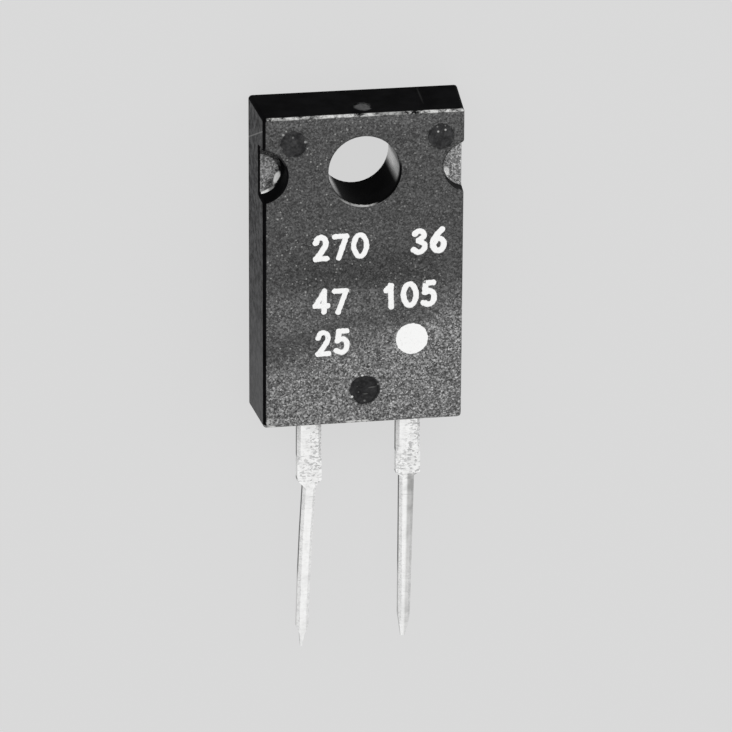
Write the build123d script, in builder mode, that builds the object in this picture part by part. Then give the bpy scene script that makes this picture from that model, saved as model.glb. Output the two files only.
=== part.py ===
from build123d import *

import os
from math import cos, radians, sin

# Power resistor with two leads, for screwing to a heat sink. A resistive film is printed on
# a ceramic tile, two stamped leads are soldered to the film's terminals, and all of it is
# moulded into a flat case that leaves the tile's back bare.
#
# Frame, in millimetres: the case lies on its mounting face (z = 0), and +Z leaves the marked
# face. +Y points to the screw-hole end, and +X is to the right when the marking is read. The
# origin is where the axis of the screw hole meets the mounting face.

# ---- Driving dimensions ----------------------------------------------------------------

# Moulded case
case_width = 10.57  # at the mounting face
case_length = 16.63  # at the mounting face
case_thickness = 3.47
side_lean = 0.235  # draft: how far the long sides come in from back to front
end_lean = 0.085  # draft: the same at the two ends
corner_radius = 0.19  # the four upright corners
face_edge_radius = 0.18  # round the marked face
face_shift = 0.035  # the mould halves met this far out of line, so the marked face is to the left
parting_depth = 1.25  # from the marked face back to where the mould halves met

# Screw hole
hole_diameter = 3.6
hole_to_end = 3.08  # from its axis to the near end of the mounting face
hole_rim_radius = 0.1

# Clip notches in the two long sides, beside the screw hole
notch_radius = 1.34  # at the marked face, inside the rounded rim
left_notch_inset = 0.06  # from the mounting face's side edge in to the notch's axis
right_notch_outset = 0.04  # the same on the other side, where the axis lies outside
notch_to_end = 3.13  # from its axis to the near end of the mounting face
notch_depth = 1.13  # from the marked face down to the notch's floor
notch_draft = 3.5  # degrees
notch_floor_radius = 0.1  # where the floor meets the round wall
notch_rim_radius = 0.12  # all round the opening, on the marked face and on the side

# Marks that the mould leaves: ejector pins on the marked face, the gate on the hole end
pin_mark_depth = 0.05
upper_pin_mark_diameter = 1.32
left_pin_mark = (-3.57, 1.60)
right_pin_mark = (3.84, 1.63)
lower_pin_mark_diameter = 1.5
lower_pin_mark_to_end = 1.8  # from its centre to the lead end of the marked face
gate_mark_width = 0.83
gate_mark_height = 0.62
gate_mark_depth = 0.04

# Ceramic tile, flush with the mounting face
tile_thickness = 1.0
tile_side_cover = 0.84  # moulding beside the tile
tile_end_cover = 1.0  # moulding between the tile and the lead end
tile_hole_cover = 1.3  # moulding between the tile and the screw hole

# Prints on the tile
print_thickness = 0.04
print_margin = 0.4  # bare tile round the prints
terminal_strip_width = 0.8
film_to_pad_gap = 0.7
trim_kerf = 0.15  # the laser cut that sets the resistance
trim_from_strip = 1.9
trim_plunge = 2.4
trim_run = 2.0
coat_lap = 0.2  # how far the cover coat reaches past the prints under it
coat_thickness = 0.04  # over the film

# Leads, stamped from one strip and stepped down to the tile inside the case
lead_pitch = 5.08
lead_thickness = 0.5
lead_width = 1.25
foot_width = 1.5
foot_length = 1.7
foot_to_tile_end = 0.5  # from the heel of the foot to the lead end of the tile
joggle_run = 0.8  # length over which the lead steps up from its foot
joggle_radius = 0.55  # at the middle of the strip's thickness
solder_gap = 0.08  # solder under the foot
solder_fillet = 0.28  # solder round the foot
shank_bevel = 0.17  # coined along the front edges of the shank
shank_bevel_runout = 0.45
pin_bevel = 0.15
point_thickness = 0.2

# The stubs where the tie bar was sheared off, and the pins below them, differ a little
right_bevel_length = 2.275  # of the coined edges outside the case
right_stub_length = 1.03
right_shoulder_run = 0.15
right_pin_aside = -0.045  # top of the pin from the middle of the shank
right_pin_width = 0.77
right_pin_end_width = 0.62
right_pin_length = 7.80
right_pin_lean = -0.6  # degrees
right_pin_bow = 0.0
right_point = [(1.20, 0.20, -0.06)]  # below the pin's end: distance, width, shift in x

left_bevel_length = 2.475
left_stub_length = 0.92
left_shoulder_run = 0.32
left_pin_aside = 0.02
left_pin_width = 0.69
left_pin_end_width = 0.62
left_pin_length = 7.88
left_pin_lean = -2.65
left_pin_bow = -0.04
left_point = [(0.36, 0.26, -0.02), (1.11, 0.08, -0.06)]

# ---- Places that follow from them --------------------------------------------------------

lead_end = hole_to_end - case_length
case_middle = (hole_to_end + lead_end) / 2
marked_face_width = case_width - 2 * side_lean
marked_face_length = case_length - 2 * end_lean
parting_level = case_thickness - parting_depth
hole_radius = hole_diameter / 2

tile_width = case_width - 2 * tile_side_cover
tile_top = -hole_radius - tile_hole_cover
tile_bottom = lead_end + tile_end_cover
print_half_width = tile_width / 2 - print_margin
print_top = tile_top - print_margin
film_half_width = print_half_width - terminal_strip_width

heel = tile_bottom + foot_to_tile_end
toe = heel + foot_length
pad_top = toe + solder_fillet
pad_bottom = heel - solder_fillet
pad_inner = lead_pitch / 2 - foot_width / 2 - solder_fillet
film_bottom = pad_top + film_to_pad_gap

print_level = tile_thickness + print_thickness
foot_level = print_level + solder_gap
foot_middle = foot_level + lead_thickness / 2
shank_middle = parting_level - lead_thickness / 2


# ---- Ceramic tile ------------------------------------------------------------------------
# Alumina, scribed and snapped from a larger plate, so its edges are square.

with BuildPart() as ceramic_tile:
    with BuildSketch(Plane.XY):
        with Locations((0, (tile_top + tile_bottom) / 2)):
            Rectangle(tile_width, tile_top - tile_bottom)
    extrude(amount=tile_thickness)

# ---- Film terminals ----------------------------------------------------------------------
# Printed metal: a strip along each side of the film, with a pad at its foot for the lead.

with BuildPart() as right_film_terminal:
    with BuildSketch(Plane.XY.offset(tile_thickness)):
        with BuildLine():
            Polyline(
                (pad_inner, pad_bottom),
                (print_half_width, pad_bottom),
                (print_half_width, print_top),
                (film_half_width, print_top),
                (film_half_width, pad_top),
                (pad_inner, pad_top),
                close=True,
            )
        make_face()
    extrude(amount=print_thickness)

with BuildPart() as left_film_terminal:
    mirror(right_film_terminal.part, about=Plane.YZ)

# ---- Resistive film ----------------------------------------------------------------------
# A rectangle from strip to strip, with the L-shaped laser cut that trims its resistance.

trim_x = trim_from_strip - film_half_width

with BuildPart() as resistive_film:
    with BuildSketch(Plane.XY.offset(tile_thickness)):
        with Locations((0, (print_top + film_bottom) / 2)):
            Rectangle(2 * film_half_width, print_top - film_bottom)
        with Locations((trim_x, film_bottom)):
            Rectangle(
                trim_kerf, trim_plunge, align=(Align.MIN, Align.MIN), mode=Mode.SUBTRACT
            )
        with Locations((trim_x, film_bottom + trim_plunge)):
            Rectangle(
                trim_run, trim_kerf, align=(Align.MIN, Align.MAX), mode=Mode.SUBTRACT
            )
    extrude(amount=print_thickness)

# ---- Cover coat --------------------------------------------------------------------------
# Glass fired over the film and its strips. It fills the laser cut, and the pads stay bare.

with BuildPart() as cover_coat:
    with BuildSketch(Plane.XY.offset(tile_thickness)):
        with Locations((0, (print_top + film_bottom) / 2)):
            Rectangle(
                2 * (print_half_width + coat_lap), print_top - film_bottom + 2 * coat_lap
            )
    extrude(amount=print_thickness + coat_thickness)
    add(resistive_film.part, mode=Mode.SUBTRACT)
    add(right_film_terminal.part, mode=Mode.SUBTRACT)
    add(left_film_terminal.part, mode=Mode.SUBTRACT)


# ---- Leads -------------------------------------------------------------------------------
# Each is stamped from one strip of tinned copper: the blank's outline, cut through the
# stepped side view of the strip, with the front edges coined.


def bowed_edge(start, end, bow):
    """A gentle curve from start to end whose middle stands off the chord by bow in x."""
    return Bezier(start, ((start[0] + end[0]) / 2 + 2 * bow, (start[1] + end[1]) / 2), end)


def stamped_lead(
    shank_x, bevel_length, stub_length, shoulder_run, aside, width, end_width, length, lean,
    bow, point
):
    """A lead whose shank stands at shank_x, with the bevels, stub, pin and point given."""
    bevel_bottom = lead_end - bevel_length
    stub_bottom = bevel_bottom - stub_length
    pin_top = stub_bottom - shoulder_run
    pin_bottom = pin_top - length * cos(radians(lean))
    top_x = shank_x + aside
    bottom_x = top_x + length * sin(radians(lean))
    tip = pin_bottom - point[-1][0]

    with BuildPart() as lead:
        # The blank seen from the front
        with BuildSketch(Plane.XY):
            with BuildLine():
                Polyline(
                    (top_x - width / 2, pin_top),
                    (shank_x - lead_width / 2, stub_bottom),
                    (shank_x - lead_width / 2, heel - joggle_run),
                    (shank_x - foot_width / 2, heel),
                    (shank_x - foot_width / 2, toe),
                    (shank_x + foot_width / 2, toe),
                    (shank_x + foot_width / 2, heel),
                    (shank_x + lead_width / 2, heel - joggle_run),
                    (shank_x + lead_width / 2, stub_bottom),
                    (top_x + width / 2, pin_top),
                )
                right_edge = bowed_edge(
                    (top_x + width / 2, pin_top), (bottom_x + end_width / 2, pin_bottom), bow
                )
                left_edge = bowed_edge(
                    (top_x - width / 2, pin_top), (bottom_x - end_width / 2, pin_bottom), bow
                )
                right_flank = [
                    (bottom_x + shift + wide / 2, pin_bottom - down)
                    for down, wide, shift in point
                ]
                left_flank = [
                    (bottom_x + shift - wide / 2, pin_bottom - down)
                    for down, wide, shift in point
                ]
                Polyline(right_edge @ 1, *right_flank, *reversed(left_flank), left_edge @ 1)
            make_face()
        extrude(amount=parting_level)

        # The strip seen from the side: foot, step, straight shank and pin, thinner at its tip
        with BuildSketch(Plane.YZ):
            with BuildLine():
                FilletPolyline(
                    (toe, foot_middle),
                    (heel, foot_middle),
                    (heel - joggle_run, shank_middle),
                    (tip, shank_middle),
                    radius=joggle_radius,
                )
            trace(line_width=lead_thickness)
            for way in (-1, 1):
                face_level = shank_middle + way * lead_thickness / 2
                with BuildLine():
                    Polyline(
                        (pin_bottom, face_level),
                        (tip, face_level),
                        (tip, shank_middle + way * point_thickness / 2),
                        close=True,
                    )
                make_face(mode=Mode.SUBTRACT)
        extrude(amount=case_width, both=True, mode=Mode.INTERSECT)

        # Coined front edges: down the pin, and down the shank as far as the stub
        front_face = lead.faces().filter_by(Axis.Z).group_by(Axis.Z)[-1].sort_by(SortBy.AREA)[-1]
        pin_edges = front_face.edges().filter_by(
            lambda edge: edge.center().Y < pin_top and edge.length > length / 2
        )
        chamfer(pin_edges, length=pin_bevel)
        for way in (-1, 1):
            edge_x = shank_x + way * lead_width / 2
            with BuildSketch(Plane.XZ.offset(joggle_run - heel)):
                with Locations((edge_x, parting_level)):
                    RegularPolygon(shank_bevel, 4)
            full_bevel = heel - joggle_run - shank_bevel_runout - bevel_bottom
            extrude(amount=full_bevel, mode=Mode.SUBTRACT)
            with BuildSketch(
                Plane.XZ.offset(-bevel_bottom - shank_bevel_runout), mode=Mode.PRIVATE
            ) as bevel_end:
                with Locations((edge_x, parting_level)):
                    RegularPolygon(shank_bevel, 4)
            runout_point = Vertex(edge_x, bevel_bottom, parting_level)
            loft([bevel_end.sketch, runout_point], mode=Mode.SUBTRACT)
    return lead.part


with BuildPart() as right_lead:
    add(
        stamped_lead(
            lead_pitch / 2,
            right_bevel_length,
            right_stub_length,
            right_shoulder_run,
            right_pin_aside,
            right_pin_width,
            right_pin_end_width,
            right_pin_length,
            right_pin_lean,
            right_pin_bow,
            right_point,
        )
    )

with BuildPart() as left_lead:
    add(
        stamped_lead(
            -lead_pitch / 2,
            left_bevel_length,
            left_stub_length,
            left_shoulder_run,
            left_pin_aside,
            left_pin_width,
            left_pin_end_width,
            left_pin_length,
            left_pin_lean,
            left_pin_bow,
            left_point,
        )
    )


# ---- Solder joints -----------------------------------------------------------------------
# Solder under each foot, drawn up round it in a fillet.


def solder_joint(foot_x, lead):
    """Solder between the lead's foot at foot_x and its pad."""
    with BuildPart() as joint:
        with BuildSketch(Plane.XY.offset(print_level)):
            with Locations((foot_x, (toe + heel) / 2)):
                Rectangle(foot_width + 2 * solder_fillet, foot_length + 2 * solder_fillet)
        extrude(amount=solder_gap + solder_fillet, taper=45)
        add(lead, mode=Mode.SUBTRACT)
    return joint.part


with BuildPart() as right_solder_joint:
    add(solder_joint(lead_pitch / 2, right_lead.part))

with BuildPart() as left_solder_joint:
    add(solder_joint(-lead_pitch / 2, left_lead.part))

# ---- Moulded case ------------------------------------------------------------------------
# Glass-filled moulding compound, pressed round the finished assembly. Its walls lean in
# towards the marked face so that it leaves the mould.

with BuildPart() as moulded_case:
    with BuildSketch(Plane.XY):
        with Locations((0, case_middle)):
            Rectangle(case_width, case_length)
    with BuildSketch(Plane.XY.offset(case_thickness)):
        with Locations((-face_shift, case_middle)):
            Rectangle(marked_face_width, marked_face_length)
    loft(ruled=True)
    upright_edges = moulded_case.edges().filter_by(lambda edge: abs((edge % 0.5).Z) > 0.5)
    fillet(upright_edges, radius=corner_radius)
    fillet(moulded_case.faces().sort_by(Axis.Z)[-1].edges(), radius=face_edge_radius)

    # Screw hole, with its rim rounded on the marked face
    with Locations((0, 0, case_thickness)):
        Hole(hole_radius, depth=case_thickness)
    marked_face = moulded_case.faces().sort_by(Axis.Z)[-1]
    fillet(marked_face.edges().filter_by(GeomType.CIRCLE), radius=hole_rim_radius)

    # Clip notches: round-backed pockets with a flat floor. The rim runs on smoothly from the
    # floor's outer edge, so one fillet follows it all round the opening.
    left_notch_x = left_notch_inset - case_width / 2
    right_notch_x = right_notch_outset + case_width / 2
    notch_y = hole_to_end - notch_to_end
    with BuildSketch(Plane.XY.offset(case_thickness)):
        with Locations((left_notch_x, notch_y), (right_notch_x, notch_y)):
            Circle(notch_radius)
    extrude(amount=-notch_depth, taper=notch_draft, mode=Mode.SUBTRACT)
    notch_arcs = moulded_case.edges(Select.LAST).filter_by(GeomType.CIRCLE)
    fillet(notch_arcs.group_by(Axis.Z)[0], radius=notch_floor_radius)
    notch_floors = moulded_case.faces().filter_by(Axis.Z).group_by(Axis.Z)[1]
    rim_starts = notch_floors.edges().filter_by(GeomType.CIRCLE, reverse=True)
    fillet(rim_starts, radius=notch_rim_radius)

    # Ejector-pin marks
    with BuildSketch(Plane.XY.offset(case_thickness)):
        with Locations(left_pin_mark, right_pin_mark):
            Circle(upper_pin_mark_diameter / 2)
        lower_mark_y = lead_end + end_lean + lower_pin_mark_to_end
        with Locations((0, lower_mark_y)):
            Circle(lower_pin_mark_diameter / 2)
    extrude(amount=-pin_mark_depth, mode=Mode.SUBTRACT)

    # Mark where the gate broke off, on the parting line of the hole end
    gate_face = hole_to_end - end_lean * parting_level / case_thickness
    with BuildSketch(Plane.XZ.offset(-gate_face)):
        with Locations((0, parting_level)):
            Ellipse(gate_mark_width / 2, gate_mark_height / 2)
    extrude(amount=gate_mark_depth, both=True, mode=Mode.SUBTRACT)

    # Room for everything that it is moulded round
    add(
        [
            ceramic_tile.part,
            left_film_terminal.part,
            right_film_terminal.part,
            resistive_film.part,
            cover_coat.part,
            left_solder_joint.part,
            right_solder_joint.part,
            left_lead.part,
            right_lead.part,
        ],
        mode=Mode.SUBTRACT,
    )

# ---- Write the pieces --------------------------------------------------------------------

pieces = {
    "moulded_case": moulded_case,
    "ceramic_tile": ceramic_tile,
    "left_film_terminal": left_film_terminal,
    "right_film_terminal": right_film_terminal,
    "resistive_film": resistive_film,
    "cover_coat": cover_coat,
    "left_solder_joint": left_solder_joint,
    "right_solder_joint": right_solder_joint,
    "left_lead": left_lead,
    "right_lead": right_lead,
}

os.makedirs("parts", exist_ok=True)
for name, piece in pieces.items():
    piece.part.label = name
    export_step(piece.part, f"parts/{name}.step")
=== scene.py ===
import math
import random

import bpy
from mathutils import Matrix, Vector, noise


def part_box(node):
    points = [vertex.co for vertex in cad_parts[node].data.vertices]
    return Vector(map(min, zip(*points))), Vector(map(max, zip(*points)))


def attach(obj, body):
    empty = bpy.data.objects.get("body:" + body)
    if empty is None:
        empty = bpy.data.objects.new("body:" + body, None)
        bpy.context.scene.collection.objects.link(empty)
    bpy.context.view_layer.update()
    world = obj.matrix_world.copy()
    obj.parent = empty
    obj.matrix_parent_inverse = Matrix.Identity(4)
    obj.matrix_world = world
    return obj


# A flat moulded power resistor with two stamped leads, lying on its mounting face. The CAD
# nodes keep their shape and get their real materials here, and the ink on the marked face is
# added. +Z leaves the marked face, +Y points to the screw-hole end.

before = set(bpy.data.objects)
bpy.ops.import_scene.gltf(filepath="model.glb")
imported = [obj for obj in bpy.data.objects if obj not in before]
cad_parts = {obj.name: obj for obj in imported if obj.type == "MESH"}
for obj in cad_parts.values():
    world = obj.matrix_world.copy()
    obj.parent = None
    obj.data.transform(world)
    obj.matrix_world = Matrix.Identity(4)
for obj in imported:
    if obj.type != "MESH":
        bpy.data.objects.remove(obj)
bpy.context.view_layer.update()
mm = 0.001
case_low, case_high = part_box("moulded_case")
marked_face = case_high.z

# ---- Moulded case --------------------------------------------------------------------------
# Black moulding compound full of ground glass, pressed round the tile and the leads in a
# two-part mould. The marked face and the notch floors came off spark-eroded steel, so they
# are finely speckled grey. The rest came off polished steel and is black and smooth, painted
# darker still as painted shade, and its rounded edges on the right and at the lead end are
# painted in the grey texture as painted light.


def make_material(name):
    """A new material and its Principled shader."""
    material = bpy.data.materials.new(name)
    material.use_nodes = True
    return material, material.node_tree.nodes["Principled BSDF"]


def add_node(material, kind, inputs, **settings):
    """A node of that kind. Each input, by name or number, takes a value or another node's output."""
    made = material.node_tree.nodes.new(kind)
    for name, value in settings.items():
        setattr(made, name, value)
    for key, value in inputs.items():
        if isinstance(value, bpy.types.NodeSocket):
            material.node_tree.links.new(value, made.inputs[key])
        else:
            made.inputs[key].default_value = value
    return made


def calc(material, operation, *values):
    """What a Math node makes of the values."""
    inputs = dict(enumerate(values))
    return add_node(material, "ShaderNodeMath", inputs, operation=operation).outputs[0]


def fade(material, value, start, end):
    """0 up to start and 1 from end on, with a smooth turn between; start may be the larger."""
    inputs = {"Value": value, "From Min": start, "From Max": end}
    made = add_node(material, "ShaderNodeMapRange", inputs, interpolation_type="SMOOTHSTEP")
    return made.outputs[0]


def mix(material, share, first, second):
    """first where share is 0 and second where it is 1, for numbers."""
    return add_node(material, "ShaderNodeMix", {0: share, 2: first, 3: second}).outputs[0]


def mix_colour(material, share, first, second):
    """first where share is 0 and second where it is 1, for colours."""
    inputs = {0: share, 6: first, 7: second}
    return add_node(material, "ShaderNodeMix", inputs, data_type="RGBA").outputs[2]


def times(material, *values):
    """The product of the values: of shares, the share where all of them hold."""
    product = values[0]
    for value in values[1:]:
        product = calc(material, "MULTIPLY", product, value)
    return product


def either(material, *values):
    """The largest of the values: of shares, the share where any of them holds."""
    largest = values[0]
    for value in values[1:]:
        largest = calc(material, "MAXIMUM", largest, value)
    return largest


def lay_over(material, tone, colour, share, strength=1.0):
    """The tone with the colour over it where the share says, at that strength."""
    if strength != 1.0:
        share = calc(material, "MULTIPLY", share, strength)
    return mix_colour(material, share, tone, colour)


def place_in_mm(material, stretch=(1, 1, 1)):
    """The point on the object in millimetres, as a vector and as x, y and z."""
    place = add_node(material, "ShaderNodeTexCoord", {}).outputs["Object"]
    per_mm = Vector(stretch) / mm
    scaled = add_node(material, "ShaderNodeVectorMath", {0: place, 1: per_mm}, operation="MULTIPLY")
    apart = add_node(material, "ShaderNodeSeparateXYZ", {0: scaled.outputs[0]}).outputs
    return scaled.outputs[0], apart[0], apart[1], apart[2]


def facing(material):
    """x, y and z of the direction that the surface faces."""
    normal = add_node(material, "ShaderNodeTexCoord", {}).outputs["Normal"]
    return add_node(material, "ShaderNodeSeparateXYZ", {0: normal}).outputs


def grain(material, where, scale, detail=2.0, roughness=0.5):
    """Cloudy noise from 0 to 1, scale lumps to the millimetre."""
    inputs = {"Vector": where, "Scale": scale, "Detail": detail, "Roughness": roughness}
    return add_node(material, "ShaderNodeTexNoise", inputs).outputs[0]


def specks(material, where, scale, radius, share):
    """Scattered round specks: scale places to the millimetre, radius in mm, a share of them filled."""
    cells = add_node(material, "ShaderNodeTexVoronoi", {"Vector": where, "Scale": scale})
    dot = fade(material, cells.outputs["Distance"], radius * scale, radius * scale * 0.4)
    draw = add_node(material, "ShaderNodeSeparateColor", {0: cells.outputs["Color"]}).outputs[0]
    return times(material, dot, calc(material, "LESS_THAN", draw, share))


def grains(material, where, scale):
    """A random shade from 0 to 1 for each grain, scale grains to the millimetre."""
    cells = add_node(material, "ShaderNodeTexVoronoi", {"Vector": where, "Scale": scale})
    return add_node(material, "ShaderNodeSeparateColor", {0: cells.outputs["Color"]}).outputs[0]


def away_from(material, x, y, place, length=1.0, turned=0.0):
    """How far x, y is from the place; along the way turned degrees from x it counts length times less."""
    across = calc(material, "SUBTRACT", x, place[0])
    up = calc(material, "SUBTRACT", y, place[1])
    cosine = math.cos(math.radians(turned))
    sine = math.sin(math.radians(turned))
    along = calc(material, "MULTIPLY_ADD", across, cosine / length, times(material, up, sine / length))
    aside = calc(material, "MULTIPLY_ADD", up, cosine, times(material, across, -sine))
    squares = calc(material, "MULTIPLY_ADD", along, along, times(material, aside, aside))
    return calc(material, "SQRT", squares)


def grey(material, value):
    """A grey of that brightness."""
    return mix_colour(material, value, (0, 0, 0, 1), (1, 1, 1, 1))


def connect(material, shader, tone, roughness, height, relief, depth):
    """Gives the shader its colour, its roughness, and a relief of that strength and depth."""
    bump = add_node(material, "ShaderNodeBump", {"Strength": relief, "Distance": depth, "Height": height})
    links = material.node_tree.links
    links.new(tone, shader.inputs["Base Color"])
    links.new(roughness, shader.inputs["Roughness"])
    links.new(bump.outputs[0], shader.inputs["Normal"])


compound, shader = make_material("moulding_compound")
where, x, y, z = place_in_mm(compound)
nx, ny, nz = facing(compound)
from_middle = calc(compound, "ABSOLUTE", x)

# In millimetres, as all places and lengths in the materials
top = marked_face / mm
lead_end = case_low.y / mm
hole_end = case_high.y / mm
hole_radius = 1.8
notch_ground = top - 1.13
left_mark = (-3.57, 1.6)
right_mark = (3.84, 1.63)
lower_mark = (0.08, -11.67)

# Where the speckled texture is: flat ground that faces up on the marked face or a notch floor,
# and the rounded edges on the right and at the lead end, given the grey texture as painted light
flat = fade(compound, nz, 0.955, 0.998)
on_top = fade(compound, z, top - 0.035, top - 0.01)
outward = either(compound, nx, times(compound, ny, -1.0))
lit_edge = times(
    compound,
    fade(compound, outward, 0.02, 0.08),
    fade(compound, z, top - 0.2, top - 0.17),
    either(
        compound,
        fade(compound, x, 4.7, 4.8),
        fade(compound, y, lead_end + 0.45, lead_end + 0.35),
    ),
)

# The rounded rim of the screw hole, all but its lower right
from_hole = away_from(compound, x, y, (0, 0))
hole_rim = times(
    compound,
    fade(compound, from_hole, hole_radius + 0.18, hole_radius + 0.14),
    fade(compound, nz, 0.25, 0.5),
    fade(compound, calc(compound, "MULTIPLY_ADD", y, -0.6, x), 1.75, 1.4),
)

# The notch floors, the foot of the right notch's wall, and the rims of both notches
in_notch = times(
    compound,
    fade(compound, from_middle, 3.5, 3.6),
    fade(compound, z, notch_ground + 0.26, notch_ground + 0.16),
    fade(compound, z, notch_ground - 0.14, notch_ground - 0.04),
)
outer_strip = times(
    compound,
    fade(compound, x, 4.85, 4.9),
    fade(compound, nz, 0.1, 0.25),
    fade(compound, calc(compound, "ABSOLUTE", y), 1.5, 1.4),
)
# The lower wall of the right notch is painted grey as a painted sheen; its foot takes the floor's texture
right_wall_sheen = times(
    compound,
    fade(compound, x, 3.8, 4.0),
    fade(compound, y, -0.7, -0.85),
    fade(compound, y, -1.5, -1.4),
    fade(compound, ny, 0.2, 0.4),
    fade(compound, z, top - 0.1, top - 0.14),
)
right_foot = times(compound, right_wall_sheen, fade(compound, z, notch_ground + 0.32, notch_ground + 0.22))
notch_floor = times(compound, either(compound, flat, outer_strip), in_notch)
notch_floor = either(compound, notch_floor, right_foot)
# The rims take the texture only in part, the left one least, as painted shade on their rounding
notch_rim = times(
    compound,
    fade(compound, z, top - 0.16, top - 0.13),
    fade(compound, nz, 0.2, 0.6),
    fade(compound, from_middle, 3.6, 3.7),
    either(compound, fade(compound, y, 0.3, 0.8), fade(compound, x, 0.0, 1.0)),
    fade(compound, y, 1.5, 1.3),
    fade(compound, y, -1.5, -1.3),
    fade(compound, x, -5.05, -4.95),
    mix(compound, fade(compound, x, -1.0, 1.0), 0.35, 0.7),
)

# The ejector-pin marks, with ragged edges
ragged = grain(compound, where, 3.0, detail=4.0, roughness=0.7)
ragged = calc(compound, "MULTIPLY_ADD", ragged, 0.5, -0.25)
above_notches = fade(compound, z, top - 0.08, top - 0.06)
from_left_mark = away_from(compound, x, y, left_mark)
from_right_mark = away_from(compound, x, y, right_mark)
from_lower_mark = calc(compound, "MULTIPLY_ADD", ragged, 0.5, away_from(compound, x, y, lower_mark))
pin_mark = either(
    compound,
    fade(compound, calc(compound, "ADD", from_left_mark, ragged), 0.72, 0.61),
    fade(compound, calc(compound, "ADD", from_right_mark, ragged), 0.72, 0.61),
    fade(compound, from_lower_mark, 0.82, 0.74),
)
pin_mark = times(compound, pin_mark, above_notches)
from_upper_marks = calc(compound, "MINIMUM", from_left_mark, from_right_mark)
near_marks = either(
    compound,
    fade(compound, from_upper_marks, 0.76, 0.73),
    fade(compound, from_lower_mark, 0.94, 0.89),
)
textured = either(
    compound,
    times(compound, flat, either(compound, on_top, in_notch)),
    lit_edge,
    hole_rim,
    notch_rim,
    times(compound, near_marks, above_notches),
)

# Towards the lead end the face is painted paler in two steps, a painted gradient of light,
# and its grain grows harsher; on the right the second step comes first. A stretch between them
# is painted less pale, furthest down on the left, and so is the left margin.
patches = grain(compound, where, 0.45, detail=3.0)
first_step = calc(compound, "MULTIPLY_ADD", patches, -1.2, y)
second_step = calc(compound, "MULTIPLY_ADD", x, -0.33, y)
second_step = calc(compound, "MULTIPLY_ADD", patches, -3.0, second_step)
light_and_wear = times(compound, fade(compound, first_step, -6.2, -7.6), 0.36)
light_and_wear = calc(compound, "MULTIPLY_ADD", fade(compound, second_step, -9.1, -11.5), 0.64, light_and_wear)
less_lit_down_to = mix(compound, fade(compound, x, -2.4, -1.2), -10.3, -8.3)
less_light_and_wear = times(
    compound,
    fade(compound, calc(compound, "MULTIPLY_ADD", x, -0.25, y), -7.1, -7.9),
    fade(compound, calc(compound, "SUBTRACT", y, less_lit_down_to), -0.5, 0.4),
    fade(compound, x, 4.2, 3.2),
)
left_margin = times(compound, fade(compound, x, -4.0, -4.5), fade(compound, y, -7.5, -8.5), 0.5)
less_light_and_wear = either(compound, less_light_and_wear, left_margin)
light_and_wear = either(compound, calc(compound, "MULTIPLY_ADD", less_light_and_wear, -0.36, light_and_wear), 0.0)

# Ground glass and pitted skin: each grain of the texture has a shade of its own, and some
# grains carry a painted glint
fine = grain(compound, where, 7.5, detail=2.0, roughness=0.65)
fine_pale = fade(compound, fine, 0.44, 0.8)
shade = calc(compound, "MULTIPLY_ADD", grains(compound, where, 9.0), 0.4, grains(compound, where, 15.0))
shade = calc(compound, "MULTIPLY_ADD", fine, 0.5, calc(compound, "SUBTRACT", shade, 0.95))
dark_band = times(
    compound,
    fade(compound, y, -3.6, -5.0),
    fade(compound, y, -6.6, -5.6),
    fade(compound, from_middle, 4.4, 2.9),
)
# The median tone carries the painted light towards the lead end, a darker band across the middle and a
# paler stretch at the hole end
face_median = times(
    compound,
    mix(compound, light_and_wear, 0.080, 0.158),
    mix(compound, dark_band, 1.0, 0.76),
    mix(compound, fade(compound, y, 2.0, 2.8), 1.0, 1.2),
)
face_swing = calc(compound, "EXPONENT", times(compound, shade, mix(compound, light_and_wear, 1.1, 1.95)))
face_tone = grey(compound, times(compound, face_median, face_swing))
grit = specks(compound, where, 2.0, 0.07, 0.35)
small_grit = specks(compound, where, 4.0, 0.055, 0.6)
glints = times(
    compound,
    either(compound, grit, small_grit),
    mix(compound, fade(compound, x, -1.0, 2.5), 0.65, 0.4),
)
face_tone = lay_over(compound, face_tone, (0.46, 0.46, 0.45, 1), glints)

# The rim of the hole is paler at its lower left, where screw heads rubbed it
rubbed_rim = times(
    compound,
    fade(compound, from_hole, hole_radius + 0.1, hole_radius + 0.06),
    fade(compound, nz, 0.25, 0.5),
    fade(compound, y, -1.1, -1.8),
    fade(compound, x, 1.3, 0.5),
    mix(compound, fade(compound, x, -0.7, 0.1), 0.65, 1.0),
    fade(compound, grain(compound, where, 2.5, detail=3.0), 0.3, 0.55),
)
face_tone = lay_over(compound, face_tone, (0.5, 0.5, 0.49, 1), rubbed_rim)

# The notch floors took less rubbing and kept the paler texture of the steel, and the left one
# is in shade at the foot of its wall
left_foot = times(
    compound,
    fade(compound, away_from(compound, x, y, (-5.18, -0.28)), 1.04, 1.11),
    fade(compound, x, 0.0, -1.0),
)
foot_shade = mix(compound, left_foot, 1.0, mix(compound, fade(compound, y, 0.0, 0.4), 0.02, 0.25))
floor_median = mix(compound, fade(compound, x, -4.0, 4.0), 0.24, 0.30)
floor_swing = calc(compound, "EXPONENT", times(compound, shade, 1.6))
floor_tone = grey(compound, times(compound, floor_median, floor_swing, foot_shade))

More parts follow.
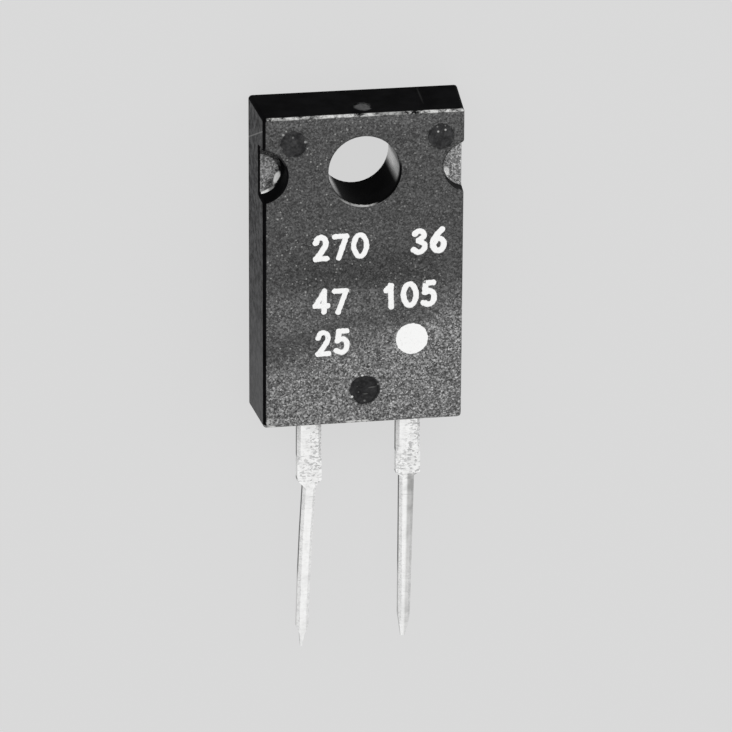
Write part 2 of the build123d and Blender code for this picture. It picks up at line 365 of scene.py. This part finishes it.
# The long sides are smoother, with soft blotches, and a hairline scratch crosses the left one
blotches = fade(compound, grain(compound, where, 2.6, detail=5.0, roughness=0.75), 0.35, 0.65)
side = times(
    compound,
    fade(compound, calc(compound, "ABSOLUTE", nx), 0.985, 0.996),
    fade(compound, z, top - 0.12, top - 0.2),
    fade(compound, from_middle, 4.7, 4.8),
)
side_tone = mix_colour(compound, blotches, (0.040, 0.040, 0.041, 1), (0.122, 0.122, 0.124, 1))
side_tone = lay_over(compound, side_tone, (0.15, 0.15, 0.152, 1), fade(compound, y, -4.0, -12.0), 0.55)
side_tone = lay_over(compound, side_tone, (0.14, 0.14, 0.14, 1), fine_pale, 0.25)
hairline_y = calc(compound, "MULTIPLY_ADD", z, 0.42, 0.9)
from_hairline = calc(compound, "ABSOLUTE", calc(compound, "SUBTRACT", y, hairline_y))
hairline = times(compound, fade(compound, from_hairline, 0.045, 0.015), fade(compound, nx, -0.5, -0.7))
side_tone = lay_over(compound, side_tone, (0.36, 0.36, 0.355, 1), hairline, 0.42)

# Everything else is the polished black skin, with faint clouds and one scratch on the hole
# end. Where it shows, on the hole end, in the hole, on the notch walls and along the left edge,
# its near-black tone is painted shade, darker than the compound. On the mounting face and the
# lead end it keeps a duller, paler tone of its own.
black = (0.0035, 0.0035, 0.004, 1)
skin_clouds = fade(compound, grain(compound, where, 0.8, detail=5.0, roughness=0.6), 0.35, 0.65)
skin = mix_colour(compound, skin_clouds, (0.0026, 0.0026, 0.0028, 1), (0.0052, 0.0052, 0.0056, 1))
dull_skin = either(compound, fade(compound, nz, -0.9, -0.97), fade(compound, ny, -0.9, -0.97))
dull_tone = mix_colour(compound, blotches, (0.020, 0.020, 0.0205, 1), (0.042, 0.042, 0.043, 1))
dull_tone = lay_over(compound, dull_tone, (0.1, 0.1, 0.1, 1), fine_pale, 0.3)
skin = lay_over(compound, skin, dull_tone, dull_skin)
from_scratch = away_from(compound, x, z, (3.16, 1.2), 22.0, 92.0)
scratch = times(compound, fade(compound, from_scratch, 0.07, 0.02), fade(compound, ny, 0.9, 0.97))
skin = lay_over(compound, skin, (0.017, 0.017, 0.017, 1), scratch)
tone = lay_over(compound, skin, side_tone, side)
# Painted sheen on the lower wall of the right notch
tone = lay_over(compound, tone, (0.02, 0.02, 0.0205, 1), right_wall_sheen)
tone = lay_over(compound, tone, face_tone, textured)

# The pin marks are smooth and dark. There are chips in them, most in the right one, two short
# scuffs in the lower one, and painted highlights on the rims of two.
pin_clouds = fade(compound, grain(compound, where, 2.2, detail=4.0, roughness=0.7), 0.35, 0.7)
pin_tone = mix_colour(compound, pin_clouds, (0.022, 0.022, 0.0225, 1), (0.055, 0.055, 0.056, 1))
pin_tone = lay_over(compound, pin_tone, (0.12, 0.12, 0.121, 1), fine_pale, 0.3)
pin_tone = lay_over(compound, pin_tone, (0.36, 0.36, 0.35, 1), grit, 0.5)
pin_tone = lay_over(compound, pin_tone, black, fade(compound, y, -5.0, -6.0), 0.35)
chips = times(
    compound,
    specks(compound, where, 3.0, 0.075, 0.3),
    mix(compound, fade(compound, x, 2.0, 3.0), 0.25, 0.9),
)
pin_tone = lay_over(compound, pin_tone, (0.5, 0.5, 0.49, 1), chips)
scuffs = either(
    compound,
    fade(compound, away_from(compound, x, y, (0.44, -11.57), 5.0, 5.0), 0.05, 0.02),
    fade(compound, away_from(compound, x, y, (0.11, -11.91), 4.0, 0.0), 0.045, 0.015),
)
pin_tone = lay_over(compound, pin_tone, (0.09, 0.09, 0.088, 1), scuffs)
tone = lay_over(compound, tone, pin_tone, pin_mark)
# Painted highlights on the rims of the pin marks
rim_highlights = [
    ((-0.58, -12.03), 0.7),
    ((-0.06, -10.9), 0.7),
    ((-4.08, 2.11), 0.3),
    ((-2.96, 1.67), 0.35),
]
for place, brightness in rim_highlights:
    highlight = fade(compound, away_from(compound, x, y, place), 0.085, 0.04)
    highlight_tone = (brightness, brightness, brightness * 0.99, 1)
    tone = lay_over(compound, tone, highlight_tone, times(compound, highlight, above_notches))

# Two streaky bands of painted reflection, pale and metallic, on the wall of the hole, on its right and
# its left
hole_wall = times(
    compound,
    fade(compound, from_hole, hole_radius + 0.1, hole_radius + 0.06),
    fade(compound, nz, 0.5, 0.25),
)
right_band = times(
    compound,
    fade(compound, y, -0.85, -0.35),
    mix(compound, fade(compound, y, 0.0, 0.3), 1.0, 0.4),
    fade(compound, x, 0.8, 1.1),
)
left_band = times(compound, fade(compound, x, -1.0, -1.42), fade(compound, y, -0.75, -1.2))
down_the_wall = place_in_mm(compound, stretch=(1, 1, 0.1))[0]
streaks = grain(compound, down_the_wall, 2.0, detail=4.0, roughness=0.7)
wall_reflection = times(
    compound,
    hole_wall,
    either(compound, right_band, left_band),
    fade(compound, z, top - 0.1, top - 0.6),
    mix(compound, fade(compound, z, 2.9, 1.2), 0.65, 1.0),
    mix(compound, fade(compound, streaks, 0.3, 0.7), 0.75, 1.0),
)
# Painted reflection on the hole wall
tone = lay_over(compound, tone, (0.64, 0.64, 0.635, 1), wall_reflection)
tone = lay_over(compound, tone, floor_tone, notch_floor)

# The stub of the gate, torn rough and grey
from_gate = calc(compound, "ADD", away_from(compound, x, z, (0.05, 2.42), 1.4, 90.0), ragged)
on_hole_end = fade(compound, y, hole_end - 0.18, hole_end - 0.13)
gate = times(compound, fade(compound, from_gate, 0.48, 0.3), on_hole_end)
gate_tone = mix_colour(compound, fine, (0.025, 0.025, 0.026, 1), (0.15, 0.15, 0.151, 1))
tone = lay_over(compound, tone, gate_tone, gate)

# The rim over the hole end is painted pale as a painted highlight, with thin gaps and one weaker stretch
from_weak_stretch = calc(compound, "ABSOLUTE", calc(compound, "SUBTRACT", x, 1.3))
end_rim_highlight = times(
    compound,
    fade(compound, ny, 0.15, 0.42),
    fade(compound, nz, 0.25, 0.5),
    fade(compound, y, hole_end - 0.33, hole_end - 0.28),
    fade(compound, x, -4.95, -4.8),
    fade(compound, grain(compound, where, 2.6, detail=4.0, roughness=0.8), 0.36, 0.62),
    mix(compound, fade(compound, from_weak_stretch, 0.5, 1.2), 0.6, 1.0),
)
tone = lay_over(compound, tone, (0.72, 0.72, 0.71, 1), end_rim_highlight)

# One corner of the lead end is rubbed pale where the part stood on it, and so is the middle of
# the edge between the leads
from_streak = away_from(compound, x, y, (-4.78, lead_end + 0.41), 1.7, 90.0)
from_streak = calc(compound, "ADD", from_streak, ragged)
from_spot = away_from(compound, x, y, (-4.68, lead_end + 0.14), 2.4, 5.0)
corner = times(
    compound,
    either(
        compound,
        times(compound, fade(compound, from_streak, 0.24, 0.08), 0.6),
        fade(compound, from_spot, 0.12, 0.05),
    ),
    fade(compound, nz, 0.2, 0.5),
    fade(compound, fine, 0.34, 0.52),
    fade(compound, x, -4.98, -4.9),
)
from_edge_middle = away_from(compound, x, y, (-0.28, lead_end + 0.15))
edge_middle = times(
    compound,
    fade(compound, ny, -0.05, -0.2),
    fade(compound, nz, 0.1, 0.3),
    fade(compound, from_edge_middle, 0.75, 0.45),
    fade(compound, fine, 0.34, 0.5),
)
tone = lay_over(compound, tone, (0.62, 0.62, 0.61, 1), either(compound, corner, edge_middle))

# Painted highlights on the notch floors beside their walls: a drop on each, and on the left a
# thin line that runs out to the side along the floor's edge, with dark patches above it
uneven = times(compound, grain(compound, where, 4.0, detail=3.0), 0.09)
from_drops = calc(
    compound,
    "MINIMUM",
    away_from(compound, x, y, (-4.26, -0.55), 2.2, 68.0),
    away_from(compound, x, y, (4.37, -0.68), 2.2, -70.0),
)
from_drops = calc(compound, "ADD", from_drops, uneven)
narrower_below = times(compound, calc(compound, "ADD", y, 0.6), -0.12)
from_drops = calc(compound, "ADD", from_drops, narrower_below)
from_left_axis = calc(compound, "ADD", away_from(compound, x, y, (-5.2, 0.0)), uneven)
line = times(
    compound,
    fade(compound, from_left_axis, 1.22, 1.28),
    fade(compound, x, -4.3, -4.45),
    mix(compound, fade(compound, x, -4.75, -4.55), 1.0, 0.3),
    fade(compound, y, -0.8, -0.9),
)
foot_highlight = times(
    compound,
    either(compound, line, fade(compound, from_drops, 0.19, 0.13)),
    fade(compound, z, notch_ground + 0.16, notch_ground + 0.1),
    fade(compound, nz, 0.3, 0.5),
    fade(compound, from_middle, 5.04, 5.0),
)
dark_patches = either(
    compound,
    fade(compound, away_from(compound, x, y, (-4.58, -0.78), 1.7, 60.0), 0.25, 0.08),
    fade(compound, away_from(compound, x, y, (-4.18, -0.13)), 0.17, 0.08),
)
tone = lay_over(compound, tone, black, dark_patches, 0.65)
# Painted highlights on the notch floors
tone = lay_over(compound, tone, (0.98, 0.98, 0.97, 1), foot_highlight)

roughness = mix(compound, either(compound, textured, side), 0.25, 0.62)
connect(compound, shader, tone, roughness, fine, mix(compound, textured, 0.03, 0.45), 0.03 * mm)
compound.node_tree.links.new(wall_reflection, shader.inputs["Metallic"])
shader.inputs["Specular IOR Level"].default_value = 0.001


def finish_node(node_name, material):
    """Gives the CAD node of that name the material."""
    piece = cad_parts[node_name]
    piece.data.materials.clear()
    piece.data.materials.append(material)


finish_node("moulded_case", compound)

# ---- Ceramic tile --------------------------------------------------------------------------
# Pressed and fired alumina, snapped from a scribed plate. Its bare back lies flush in the
# mounting face. White and matt, with faint cloudy stains from the kiln.

ceramic, shader = make_material("alumina")
where = place_in_mm(ceramic)[0]
clouds = grain(ceramic, where, 0.9, detail=4.0)
fine = grain(ceramic, where, 14.0, detail=2.0)
stained = fade(ceramic, clouds, 0.3, 0.75)
tone = mix_colour(ceramic, stained, (0.86, 0.855, 0.83, 1), (0.79, 0.78, 0.75, 1))
tone = lay_over(ceramic, tone, (0.4, 0.38, 0.35, 1), specks(ceramic, where, 0.8, 0.07, 0.12))
connect(ceramic, shader, tone, mix(ceramic, fine, 0.4, 0.6), fine, 0.25, 0.01 * mm)
finish_node("ceramic_tile", ceramic)

# ---- Prints on the tile --------------------------------------------------------------------
# Screen-printed and fired on the ceramic: matt silver terminals, the black resistive film and
# the green glass over it. They are sealed inside the case.


def fired_print(name, dark, pale, metal, low_roughness, high_roughness):
    """A fired print: a fine mesh mark from the screen, between a dark and a pale tone."""
    material, print_shader = make_material(name)
    mesh_mark = grain(material, place_in_mm(material)[0], 10.0, detail=3.0)
    print_tone = mix_colour(material, mesh_mark, dark, pale)
    print_roughness = mix(material, mesh_mark, low_roughness, high_roughness)
    connect(material, print_shader, print_tone, print_roughness, mesh_mark, 0.3, 0.01 * mm)
    print_shader.inputs["Metallic"].default_value = metal
    return material


silver = fired_print("terminal_print", (0.58, 0.57, 0.54, 1), (0.78, 0.77, 0.74, 1), 0.9, 0.45, 0.65)
finish_node("left_film_terminal", silver)
finish_node("right_film_terminal", silver)
film = fired_print("resistive_print", (0.02, 0.02, 0.023, 1), (0.06, 0.06, 0.065, 1), 0.0, 0.5, 0.75)
finish_node("resistive_film", film)
glass_coat = fired_print("glass_coat", (0.08, 0.24, 0.17, 1), (0.14, 0.34, 0.25, 1), 0.0, 0.12, 0.3)
finish_node("cover_coat", glass_coat)
solder = fired_print("solder", (0.6, 0.6, 0.59, 1), (0.78, 0.78, 0.77, 1), 1.0, 0.2, 0.4)
finish_node("left_solder_joint", solder)
finish_node("right_solder_joint", solder)

# ---- Leads ---------------------------------------------------------------------------------
# Stamped from tinned copper strip. The plated front and back are bright, scratched along and
# across by handling. The cut edges are duller sheared metal, painted darker still as a dark
# reflection, and the bevels beside the front are coined.

tin, shader = make_material("tinned_copper")
where, x, y, z = place_in_mm(tin)
nx, ny, nz = facing(tin)
half_pitch = 2.54
on_right_lead = fade(tin, x, -1.0, 1.0)
round_stub = times(tin, fade(tin, y, -15.2, -15.8), fade(tin, y, -17.3, -16.9))
coined = times(tin, fade(tin, nz, 0.98, 0.8), fade(tin, nz, 0.45, 0.6))
across = grain(tin, place_in_mm(tin, stretch=(0.12, 1, 1))[0], 9.0, detail=3.0, roughness=0.7)
along = grain(tin, place_in_mm(tin, stretch=(1, 0.05, 1))[0], 10.0, detail=3.0, roughness=0.7)
scratched = mix(tin, round_stub, along, across)
dull = grain(tin, where, 1.6, detail=3.0)
tone = mix_colour(tin, fade(tin, dull, 0.4, 0.8), (0.93, 0.93, 0.925, 1), (0.78, 0.78, 0.775, 1))

# Small dents and scuffs, most of them on the right half of each shank, the stubs and the bevels
dents = times(
    tin,
    fade(tin, grains(tin, place_in_mm(tin, stretch=(0.6, 1, 1))[0], 13.0), 0.4, 0.9),
    fade(tin, grain(tin, where, 3.0, detail=4.0), 0.25, 0.5),
)
off_middle = calc(tin, "SUBTRACT", x, times(tin, calc(tin, "SIGN", x), half_pitch))
dented_shank = times(
    tin,
    mix(tin, fade(tin, off_middle, -0.25, 0.05), 0.15, 0.8),
    fade(tin, y, -17.6, -16.9),
)
dented = either(tin, dented_shank, times(tin, round_stub, 0.6), times(tin, coined, 0.3), 0.08)
tone = lay_over(tin, tone, (0.4, 0.4, 0.4, 1), times(tin, dents, dented))
scores = times(tin, fade(tin, across, 0.55, 0.72), mix(tin, round_stub, 0.3, 0.5))
tone = lay_over(tin, tone, (0.3, 0.3, 0.3, 1), scores)

# The right pin is painted darker along its right half as painted shade, and less so towards its end
right_half_shade = times(
    tin,
    fade(tin, calc(tin, "MULTIPLY_ADD", y, -0.012, x), 2.66, 2.78),
    fade(tin, y, -16.8, -17.1),
    mix(tin, fade(tin, y, -17.5, -23.0), 0.85, 0.45),
    mix(tin, fade(tin, dull, 0.3, 0.7), 0.7, 1.0),
)
tone = lay_over(tin, tone, (0.28, 0.28, 0.275, 1), right_half_shade)

# The cut edges are duller sheared metal, painted darker still as a dark reflection, but not beside the
# stubs, and least towards the ends of the pins
beside_stub = times(tin, fade(tin, y, -15.6, -15.8), fade(tin, y, -16.9, -16.7))
near_pin_end = times(tin, mix(tin, on_right_lead, 1.0, 0.7), fade(tin, y, -21.6, -22.8))
cut_edge = times(
    tin,
    fade(tin, calc(tin, "ABSOLUTE", nx), 0.8, 0.97),
    fade(tin, beside_stub, 1.0, 0.0),
    mix(tin, near_pin_end, 1.0, 0.15),
)
tone = lay_over(tin, tone, grey(tin, mix(tin, on_right_lead, 0.09, 0.05)), cut_edge)
roughness = mix(tin, scratched, 0.32, 0.5)
connect(tin, shader, tone, roughness, scratched, mix(tin, round_stub, 0.15, 0.4), 0.01 * mm)
tin.node_tree.links.new(mix(tin, coined, 1.0, 0.35), shader.inputs["Metallic"])
finish_node("left_lead", tin)
finish_node("right_lead", tin)

# ---- Marking -------------------------------------------------------------------------------
# White ink, stamped by a rubber pad: three rows of plain numbers and a round spot, each stroke
# a little uneven, with round ends. The ink lies on the marked face as a thin film.

ink_thickness = 0.012 * mm
stroke_radius = 0.145 * mm
figure_height = 1.13 * mm  # between the middles of the strokes
figure_width = 0.66 * mm
figure_step = 0.98 * mm
wander_length = 0.13 * mm
wander_depth = 0.034 * mm

# Each figure's strokes in a box of 1 by 1; a stroke that ends where it began is closed
strokes_of = {
    "0": [[(0.5, 1), (0.08, 0.72), (0.08, 0.28), (0.5, 0), (0.92, 0.28), (0.92, 0.72), (0.5, 1)]],
    "1": [[(0.2, 0.8), (0.55, 1)], [(0.55, 1), (0.55, 0)]],
    "2": [
        [(0.1, 0.76), (0.3, 0.97), (0.66, 0.97), (0.86, 0.72), (0.62, 0.4), (0.1, 0)],
        [(0.1, 0), (0.92, 0)],
    ],
    "3": [
        [(0.12, 0.88), (0.45, 1), (0.82, 0.8), (0.42, 0.55)],
        [(0.42, 0.55), (0.92, 0.3), (0.5, 0), (0.08, 0.12)],
    ],
    "4": [[(0.7, 0), (0.7, 1)], [(0.7, 1), (0.04, 0.3)], [(0.04, 0.3), (0.96, 0.3)]],
    "5": [
        [(0.86, 1), (0.28, 1)],
        [(0.28, 1), (0.2, 0.56)],
        [(0.2, 0.56), (0.6, 0.62), (0.9, 0.32), (0.55, 0), (0.08, 0.08)],
    ],
    "6": [[(0.74, 1), (0.28, 0.68), (0.08, 0.28), (0.5, 0), (0.92, 0.3), (0.5, 0.57), (0.16, 0.38)]],
    "7": [[(0.06, 1), (0.94, 1)], [(0.94, 1), (0.36, 0)]],
}
# Each number, the left end and foot of its strokes in mm, and how it leans in degrees
numbers = [
    ("270", -2.50, -4.52, 0.5),
    ("36", 2.46, -4.40, -2.0),
    ("47", -2.50, -7.36, -1.0),
    ("105", 1.02, -7.28, 1.5),
    ("25", -2.40, -9.58, 0.0),
]
spot_place = Vector((2.45, -9.05, 0)) * mm
spot_radius = 0.82 * mm

ink_seed = 11
draw = random.Random(ink_seed)
ink_pieces = []


def keep_ink():
    """Turns the active object into a mesh and keeps it for the marking."""
    bpy.ops.object.convert(target="MESH")
    ink_pieces.append(bpy.context.active_object)


def ink_stroke(points):
    """One stroke of even ink through the points, which are in metres, with a round dab at each end."""
    closed = len(points) > 2 and points[0] == points[-1]
    curve = bpy.data.curves.new("stroke", "CURVE")
    curve.dimensions = "3D"
    curve.bevel_depth = stroke_radius * draw.uniform(0.94, 1.08)
    curve.bevel_resolution = 3
    curve.resolution_u = 10
    spline = curve.splines.new("BEZIER")
    kept = points[:-1] if closed else points
    spline.bezier_points.add(len(kept) - 1)
    for knot, point in zip(spline.bezier_points, kept):
        knot.co = (point[0], point[1], 0)
        knot.handle_left_type = knot.handle_right_type = "AUTO"
    spline.use_cyclic_u = closed
    piece = bpy.data.objects.new("stroke", curve)
    bpy.context.scene.collection.objects.link(piece)
    bpy.ops.object.select_all(action="DESELECT")
    piece.select_set(True)
    bpy.context.view_layer.objects.active = piece
    keep_ink()
    if not closed:
        for point in (kept[0], kept[-1]):
            dab_radius = curve.bevel_depth * 1.02
            dab_place = (point[0], point[1], -0.3 * dab_radius)
            bpy.ops.mesh.primitive_uv_sphere_add(
                segments=20, ring_count=8, radius=dab_radius, location=dab_place
            )
            keep_ink()


for figures, left, foot, lean in numbers:
    turned = Matrix.Rotation(math.radians(lean), 2)
    for place, figure in enumerate(figures):
        corner = Vector((left, foot)) * mm + turned @ Vector((place * figure_step, 0))
        corner += Vector((draw.uniform(-0.03, 0.03), draw.uniform(-0.04, 0.04))) * mm
        for stroke in strokes_of[figure]:
            points = [Vector((u * figure_width, v * figure_height)) for u, v in stroke]
            ink_stroke([tuple(corner + turned @ point) for point in points])

bpy.ops.mesh.primitive_uv_sphere_add(segments=64, ring_count=12, radius=spot_radius, location=spot_place)
keep_ink()

bpy.ops.object.select_all(action="DESELECT")
for piece in ink_pieces:
    piece.select_set(True)
bpy.context.view_layer.objects.active = ink_pieces[0]
bpy.ops.object.join()
marking = bpy.context.active_object
marking.name = "marking"
bpy.ops.object.transform_apply(location=True, rotation=True, scale=True)

# The edges wander, and everything is pressed nearly flat. Strokes and dabs keep a slight crown,
# so that no two lie in one plane where they cross. The seed makes the wander the same each run.
noise.seed_set(ink_seed)
for vertex in marking.data.vertices:
    wander = noise.noise_vector(vertex.co / wander_length) * wander_depth
    height = vertex.co.z / stroke_radius
    crown = max(height, 0) ** 0.5 if height < 1.2 else 1.1
    ink_top = marked_face + ink_thickness * (0.4 + 0.6 * crown)
    vertex.co = (vertex.co.x + wander.x, vertex.co.y + wander.y, ink_top)
marking.data.update()

ink, shader = make_material("marking_ink")
where = place_in_mm(ink)[0]
thin = grain(ink, where, 6.0, detail=3.0, roughness=0.6)
tone = mix_colour(ink, fade(ink, thin, 0.55, 0.85), (0.95, 0.95, 0.945, 1), (0.74, 0.74, 0.73, 1))
tone = lay_over(ink, tone, (0.62, 0.62, 0.61, 1), specks(ink, where, 3.2, 0.05, 0.1))
connect(ink, shader, tone, mix(ink, thin, 0.45, 0.7), thin, 0.25, 0.01 * mm)
marking.data.materials.append(ink)
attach(marking, "root")

# ---- Floor ---------------------------------------------------------------------------------
# A plain pale sheet that the part lies on. Most of its tone is its own, so that the ground
# stays even round the part, and the rest takes light and the part's soft shadow.

bpy.ops.mesh.primitive_plane_add(size=3.0, location=(0, 0, -0.02 * mm))
floor = bpy.context.active_object
floor.name = "floor"
sheet, shader = make_material("pale_sheet")
paper = 0.70
own_tone = 0.9
shader.inputs["Base Color"].default_value = (paper, paper, paper, 1)
shader.inputs["Roughness"].default_value = 0.9
shader.inputs["Specular IOR Level"].default_value = 0.0
glow = add_node(sheet, "ShaderNodeEmission", {"Color": (paper, paper, paper, 1), "Strength": 1.0})
rays = add_node(sheet, "ShaderNodeLightPath", {})
seen = either(sheet, rays.outputs["Is Camera Ray"], rays.outputs["Is Glossy Ray"])
share = times(sheet, seen, own_tone)
both = add_node(sheet, "ShaderNodeMixShader", {0: share, 1: shader.outputs[0], 2: glow.outputs[0]})
surface = sheet.node_tree.nodes["Material Output"].inputs["Surface"]
sheet.node_tree.links.new(both.outputs[0], surface)
floor.data.materials.append(sheet)

# ---- Light ---------------------------------------------------------------------------------
# A light tent: even light from all round, a broad soft box over the lead end, a strip above
# the hole end and a small box low on each side.


def softbox(name, towards, distance, width, height, brightness):
    """A softbox that stands in the direction towards from the part and shines back at it."""
    direction = Vector(towards).normalized()
    bpy.ops.object.light_add(type="AREA", location=direction * distance)
    lamp = bpy.context.active_object
    lamp.name = name
    lamp.rotation_mode = "QUATERNION"
    lamp.rotation_quaternion = direction.to_track_quat("Z", "Y")
    lamp.data.shape = "RECTANGLE"
    lamp.data.size = width
    lamp.data.size_y = height
    lamp.data.energy = brightness * width * height * math.pi


softbox("key_box", (0.16, -0.37, 0.92), 0.5, 0.46, 0.46, 0.34)
softbox("hole_end_box", (0.0, 0.62, 0.78), 0.5, 0.5, 0.14, 1.6)
softbox("left_box", (-0.75, 0.54, 0.40), 0.5, 0.26, 0.26, 1.4)
softbox("right_box", (0.85, 0.30, 0.45), 0.5, 0.26, 0.26, 1.8)

world = bpy.data.worlds.new("room")
bpy.context.scene.world = world
world.use_nodes = True
tent = world.node_tree.nodes["Background"]
tent.inputs["Color"].default_value = (1, 1, 1, 1)
tent.inputs["Strength"].default_value = 0.7

# ---- Camera --------------------------------------------------------------------------------
# Above the part and a little towards the hole end and the left, with a long lens.

camera_place = Vector((-44.335, 92.215, 258.034)) * mm
camera_aim = Vector((0.124, -10.393, 3.457)) * mm
camera_roll = math.radians(0.313)
bpy.ops.object.camera_add(location=camera_place)
camera = bpy.context.active_object
camera.rotation_mode = "QUATERNION"
back = (camera_place - camera_aim).normalized()
side_way = Vector((0, 1, 0)).cross(back).normalized()
up_way = back.cross(side_way)
right_way = side_way * math.cos(camera_roll) + up_way * math.sin(camera_roll)
turned = Matrix((right_way, back.cross(right_way), back)).transposed()
camera.rotation_quaternion = turned.to_quaternion()
camera.data.lens = 272.312
camera.data.sensor_width = 36
camera.data.clip_start = 0.01
camera.data.clip_end = 10
bpy.context.scene.camera = camera
bpy.context.scene.view_settings.view_transform = "Standard"
